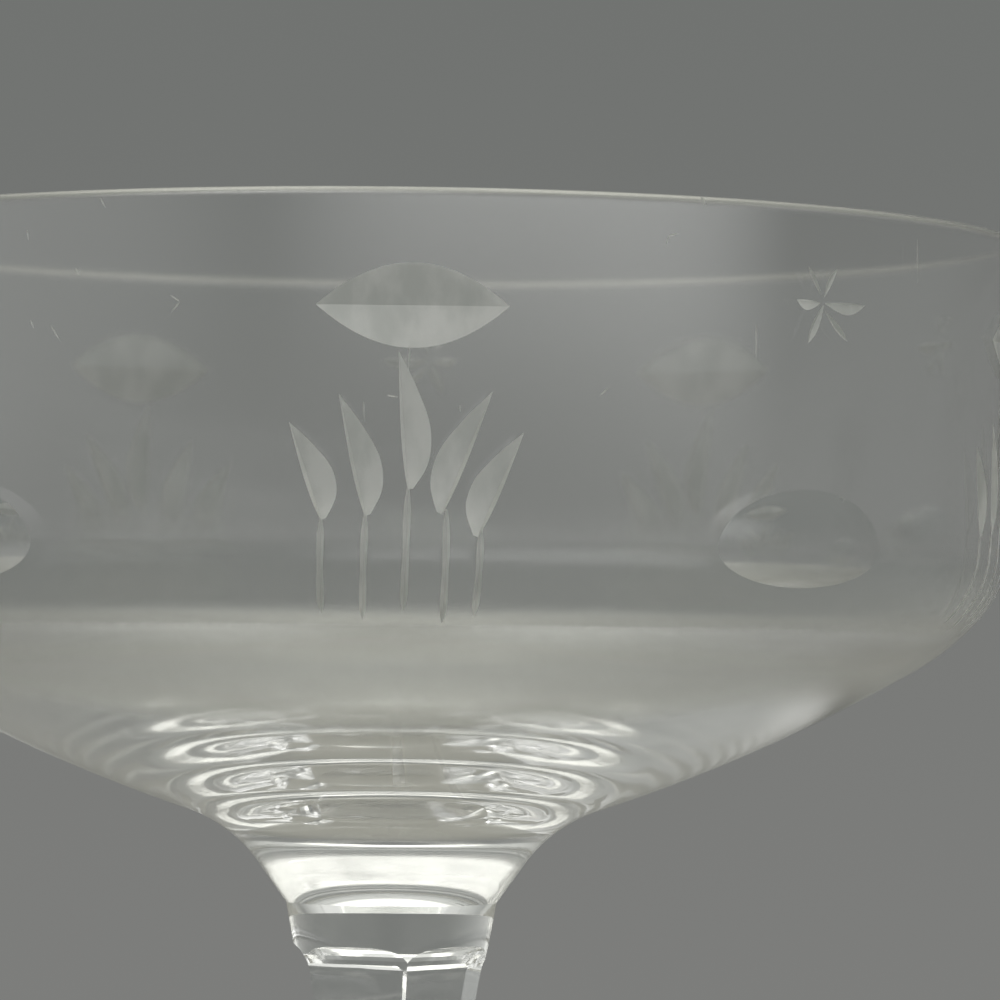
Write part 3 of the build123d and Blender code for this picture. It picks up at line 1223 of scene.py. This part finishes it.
def place_group(
    material: bpy.types.Material, tree: bpy.types.NodeTree, values: dict[str, float]
) -> Mapping[str, Socket]:
    """Places a shared group in a material, fed with the place on the glass.

    Args:
        material: The material.
        tree: The group.
        values: Values of its other inputs.

    Returns:
        The group's outputs.
    """
    nodes, wires = material.node_tree.nodes, Wiring(material.node_tree)
    where = nodes.get("where")
    if where is None:
        where = nodes.new("ShaderNodeTexCoord")
        where.name = "where"
    group = nodes.new("ShaderNodeGroup")
    group.node_tree = tree
    wires.feed(group.inputs["Place"], where.outputs["Object"])
    for title, value in values.items():
        wires.feed(group.inputs[title], value)
    return group.outputs


def relief(material: bpy.types.Material, *heights: tuple[Socket, float]) -> None:
    """Chains bumps into the material's normal.

    Args:
        material: The material.
        heights: Each height from 0 to 1, and how far it rises, in millimetres.
    """
    nodes, link = material.node_tree.nodes, material.node_tree.links.new
    end = nodes["Principled BSDF"].inputs["Normal"]
    for height, distance in reversed(heights):
        bump = nodes.new("ShaderNodeBump")
        bump.inputs["Distance"].default_value = distance * MM
        link(height, bump.inputs["Height"])
        link(bump.outputs["Normal"], end)
        end = bump.inputs["Normal"]


# ------------------------------------------------------------------ finishes


def glass_material(name: str, tint: Triple, clear: float = 1.0) -> tuple[bpy.types.Material, Wiring, Mapping]:
    """Makes a plain glass, before its surface is worked.

    Args:
        name: Name of the material.
        tint: Colour that the light takes at its surface.
        clear: Share of the light that goes through; the rest is scattered by the surface.

    Returns:
        The material, its wiring, and the inputs of its shader.
    """
    made = bpy.data.materials.new(name)
    made.use_nodes = True
    shader = made.node_tree.nodes["Principled BSDF"].inputs
    shader["Base Color"].default_value = (*tint, 1)
    shader["Transmission Weight"].default_value = clear
    shader["IOR"].default_value = GLASS_IOR
    return made, Wiring(made.node_tree), shader


@dataclass(frozen=True)
class FirePolish:
    """Blown or pressed glass, polished by the fire, with the film and hairlines of use."""

    name: str = "fire_polished"
    tint: Triple = (0.99, 0.995, 0.99)
    clean: float = 0.03
    worn: float = 0.06
    scuffed: float = 0.13
    lip: float = 0.2
    wave_scale: float = 90.0
    wave_height: float = 0.012
    scratch_depth: float = 0.0001

    def material(self, effects: Effects) -> bpy.types.Material:
        """Makes the material.

        Args:
            effects: The shared groups.

        Returns:
            The material.
        """
        made, wires, shader = glass_material(self.name, self.tint)
        shares = {"Clean": self.clean, "Worn": self.worn, "Scuffed": self.scuffed, "Lip": self.lip}
        wear = place_group(made, effects.handling(), shares)
        waves = place_group(made, effects.waves(), {"Scale": self.wave_scale})
        wires.feed(shader["Roughness"], wear["Roughness"])
        relief(made, (waves["Height"], self.wave_height), (wear["Height"], self.scratch_depth))
        return made


@dataclass(frozen=True)
class GroundCut:
    """A facet left satin by a fine stone wheel; it scatters part of the light."""

    name: str = "ground_cut"
    fine: Triple = (0.8, 0.81, 0.79)
    coarse: Triple = (0.62, 0.64, 0.62)
    clear: float = 0.62
    roughness: Pair = (0.34, 0.5)
    grain_scale: float = 5200.0
    line_height: float = 0.004

    def material(self, effects: Effects) -> bpy.types.Material:
        """Makes the material.

        Args:
            effects: The shared groups.

        Returns:
            The material.
        """
        made, wires, shader = glass_material(self.name, self.fine, self.clear)
        marks = place_group(made, effects.wheel_marks(), {"Grain scale": self.grain_scale})
        coarser = marks["Coarser"]
        wires.feed(shader["Base Color"], wires.mix(coarser, (*self.fine, 1), (*self.coarse, 1)))
        wires.feed(shader["Roughness"], wires.step(coarser, target=self.roughness, smooth=False))
        relief(made, (marks["Height"], self.line_height))
        return made


@dataclass(frozen=True)
class PolishedCut:
    """A cut polished on a cork wheel, with a trace of its lines left."""

    name: str = "polished_cut"
    tint: Triple = (0.99, 0.995, 0.99)
    roughness: Pair = (0.03, 0.09)
    grain_scale: float = 1500.0
    line_height: float = 0.0004
    wave_scale: float = 260.0
    wave_height: float = 0.006

    def material(self, effects: Effects) -> bpy.types.Material:
        """Makes the material.

        Args:
            effects: The shared groups.

        Returns:
            The material.
        """
        made, wires, shader = glass_material(self.name, self.tint)
        marks = place_group(made, effects.wheel_marks(), {"Grain scale": self.grain_scale})
        waves = place_group(made, effects.waves(), {"Scale": self.wave_scale})
        wires.feed(shader["Roughness"], wires.step(marks["Coarser"], target=self.roughness, smooth=False))
        relief(made, (waves["Height"], self.wave_height), (marks["Height"], self.line_height))
        return made


@dataclass(frozen=True)
class HotJoint:
    """The plane inside the glass where two pieces run into each other, which doesn't show."""

    name: str = "hot_joint"

    def material(self, effects: Effects) -> bpy.types.Material:
        """Makes the material.

        Args:
            effects: The shared groups, of which it needs none.

        Returns:
            The material.
        """
        made = bpy.data.materials.new(self.name)
        made.use_nodes = True
        made.node_tree.nodes["Principled BSDF"].inputs["Alpha"].default_value = 0
        return made


# ------------------------------------------------------------------ studio


@dataclass(frozen=True)
class Glow:
    """A soft part of the studio's surroundings; the angles are degrees.

    Elevations rise from level. Azimuths run from the front, where the camera stands, to its right.
    """

    grey: Triple
    comes: Pair | None = None  # elevations between which it comes in, going up
    goes: Pair | None = None  # elevations between which it goes out, going up
    azimuth: float = 0.0
    spread: Pair | None = None  # full within the first angle, and gone at the second


@dataclass
class Studio:
    """Camera, floor and soft surroundings; the camera's angles are radians, and places are metres."""

    camera_place: Triple = (0.0, -0.380, 0.08722)
    yaw: float = 0.0210
    pitch: float = 0.0357
    roll: float = 0.0087
    lens: float = 179.78
    sensor: float = 36.0
    nearest: float = 0.01
    floor_radius: float = 0.9
    floor_sides: int = 128
    floor_gap: float = 0.06  # millimetres of air under the standing ring
    floor_grey: Triple = (0.33, 0.325, 0.3)
    floor_edge: Triple = (0.19, 0.19, 0.18)  # it fades into the backdrop
    floor_fade: Pair = (0.06, 0.5)  # between these radii
    floor_roughness: float = 0.8
    backdrop: Triple = (0.205, 0.207, 0.2)
    bounces: int = 40  # light goes round many times in the thick base before it finds its way out
    glows: tuple[Glow, ...] = (
        # Upper part of the backdrop, pale wall on the left, and ceiling.
        Glow((0.165, 0.172, 0.165), comes=(-5, 9)),
        Glow((0.36, 0.37, 0.36), azimuth=-75, spread=(30, 85)),
        Glow((0.62, 0.63, 0.6), comes=(20, 45)),
        # Strip beside the camera, strip on the left, and softbox over the camera.
        Glow((3.6, 3.6, 3.55), comes=(-5.5, -1), goes=(2, 8), azimuth=25, spread=(6, 50)),
        Glow((1.0, 1.0, 0.98), comes=(-5.5, -2), goes=(2, 8), azimuth=-68, spread=(8, 42)),
        Glow((1.2, 1.2, 1.16), comes=(14, 28), goes=(40, 62), azimuth=5, spread=(30, 85)),
        # Ring of lamps overhead, ceiling inside the ring, and table beyond the floor.
        Glow((2.4, 2.4, 2.2), comes=(50, 66)),
        Glow((0.85, 0.86, 0.82), comes=(70, 80)),
        Glow((0.4, 0.4, 0.39), goes=(-40, -12)),
    )

    def camera(self) -> None:
        """Puts the camera where the photograph was taken from."""
        level = Vector((math.sin(self.yaw), math.cos(self.yaw), 0))
        ahead = level * math.cos(self.pitch) + Vector((0, 0, math.sin(self.pitch)))
        right = Vector((math.cos(self.yaw), -math.sin(self.yaw), 0))
        up = right.cross(ahead)
        turned_right = right * math.cos(self.roll) + up * math.sin(self.roll)
        turned_up = up * math.cos(self.roll) - right * math.sin(self.roll)
        camera = bpy.data.objects.new("camera", bpy.data.cameras.new("camera"))
        camera.data.lens, camera.data.sensor_width = self.lens, self.sensor
        camera.data.clip_start = self.nearest
        turn = Matrix((turned_right, turned_up, -ahead)).transposed().to_4x4()
        camera.matrix_world = Matrix.Translation(self.camera_place) @ turn
        bpy.context.scene.collection.objects.link(camera)
        bpy.context.scene.camera = camera

    def floor(self) -> None:
        """Lays the pale floor, which fades into the backdrop at its edge."""
        turns = np.linspace(0, 2 * math.pi, self.floor_sides, endpoint=False)
        ring = self.floor_radius / MM * np.stack([np.cos(turns), np.sin(turns), 0 * turns], -1)
        ring[:, 2] = -self.floor_gap
        floor = mesh_object("floor", ring, [list(range(self.floor_sides))])
        paint = bpy.data.materials.new("floor_paint")
        paint.use_nodes = True
        nodes, wires = paint.node_tree.nodes, Wiring(paint.node_tree)
        shader = nodes["Principled BSDF"].inputs
        shader["Roughness"].default_value = self.floor_roughness
        far = wires.vector("LENGTH", "Value", nodes.new("ShaderNodeTexCoord").outputs["Object"])
        fade = wires.step(far, self.floor_fade)
        wires.feed(shader["Base Color"], wires.mix(fade, (*self.floor_grey, 1), (*self.floor_edge, 1)))
        floor.data.materials.append(paint)

    def world(self) -> None:
        """Hangs the soft surroundings, from the backdrop to the last glow."""
        world = bpy.data.worlds.new("studio")
        bpy.context.scene.world = world
        world.use_nodes = True
        nodes, wires = world.node_tree.nodes, Wiring(world.node_tree)
        way = nodes.new("ShaderNodeTexCoord").outputs["Generated"]
        split = nodes.new("ShaderNodeSeparateXYZ")
        wires.feed(split.inputs[0], way)
        level = wires.vector("NORMALIZE", "Vector", wires.vector("MULTIPLY", "Vector", way, (1, 1, 0)))
        last: object = (*self.backdrop, 1)
        for glow in self.glows:
            shares = []
            for band, ends in ((glow.comes, (0, 1)), (glow.goes, (1, 0))):
                if band is not None:
                    heights = [math.sin(math.radians(angle)) for angle in band]
                    shares.append(wires.step(split.outputs["Z"], heights, ends))
            if glow.spread is not None:
                turn = math.radians(glow.azimuth)
                towards = (math.sin(turn), -math.cos(turn), 0)
                full, gone = (math.cos(math.radians(angle)) for angle in glow.spread)
                shares.append(wires.step(wires.vector("DOT_PRODUCT", "Value", level, towards), (gone, full)))
            share = shares[0]
            for other in shares[1:]:
                share = wires.number("MULTIPLY", share, other)
            last = wires.mix(share, last, (*glow.grey, 1))
        wires.feed(nodes["Background"].inputs["Color"], last)

    def set_up(self) -> None:
        """Sets up the whole studio."""
        self.camera()
        self.floor()
        self.world()
        cycles = bpy.context.scene.cycles
        cycles.max_bounces = cycles.transmission_bounces = cycles.glossy_bounces = self.bounces
        cycles.transparent_max_bounces = self.bounces


def main() -> None:
    """Builds the glass and the studio."""
    logging.basicConfig(level=logging.INFO, format="%(name)s: %(message)s")
    effects = Effects()
    finishes = {
        Finish.FIRE_POLISHED: FirePolish().material(effects),
        Finish.GROUND: GroundCut().material(effects),
        Finish.POLISHED_CUT: PolishedCut().material(effects),
        Finish.HOT_JOINT: HotJoint().material(effects),
    }
    for part, node in ((Bowl(), "bowl"), (Stem(), "stem"), (Foot(), "foot")):
        piece = part.build(finishes)
        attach(piece, ROOT)
        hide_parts(node)
        log.info("%s stands for %s: %d faces", piece.name, node, len(piece.data.polygons))
    Studio().set_up()
    bpy.context.scene.view_settings.view_transform = "Standard"


if __name__ == "__main__":
    main()
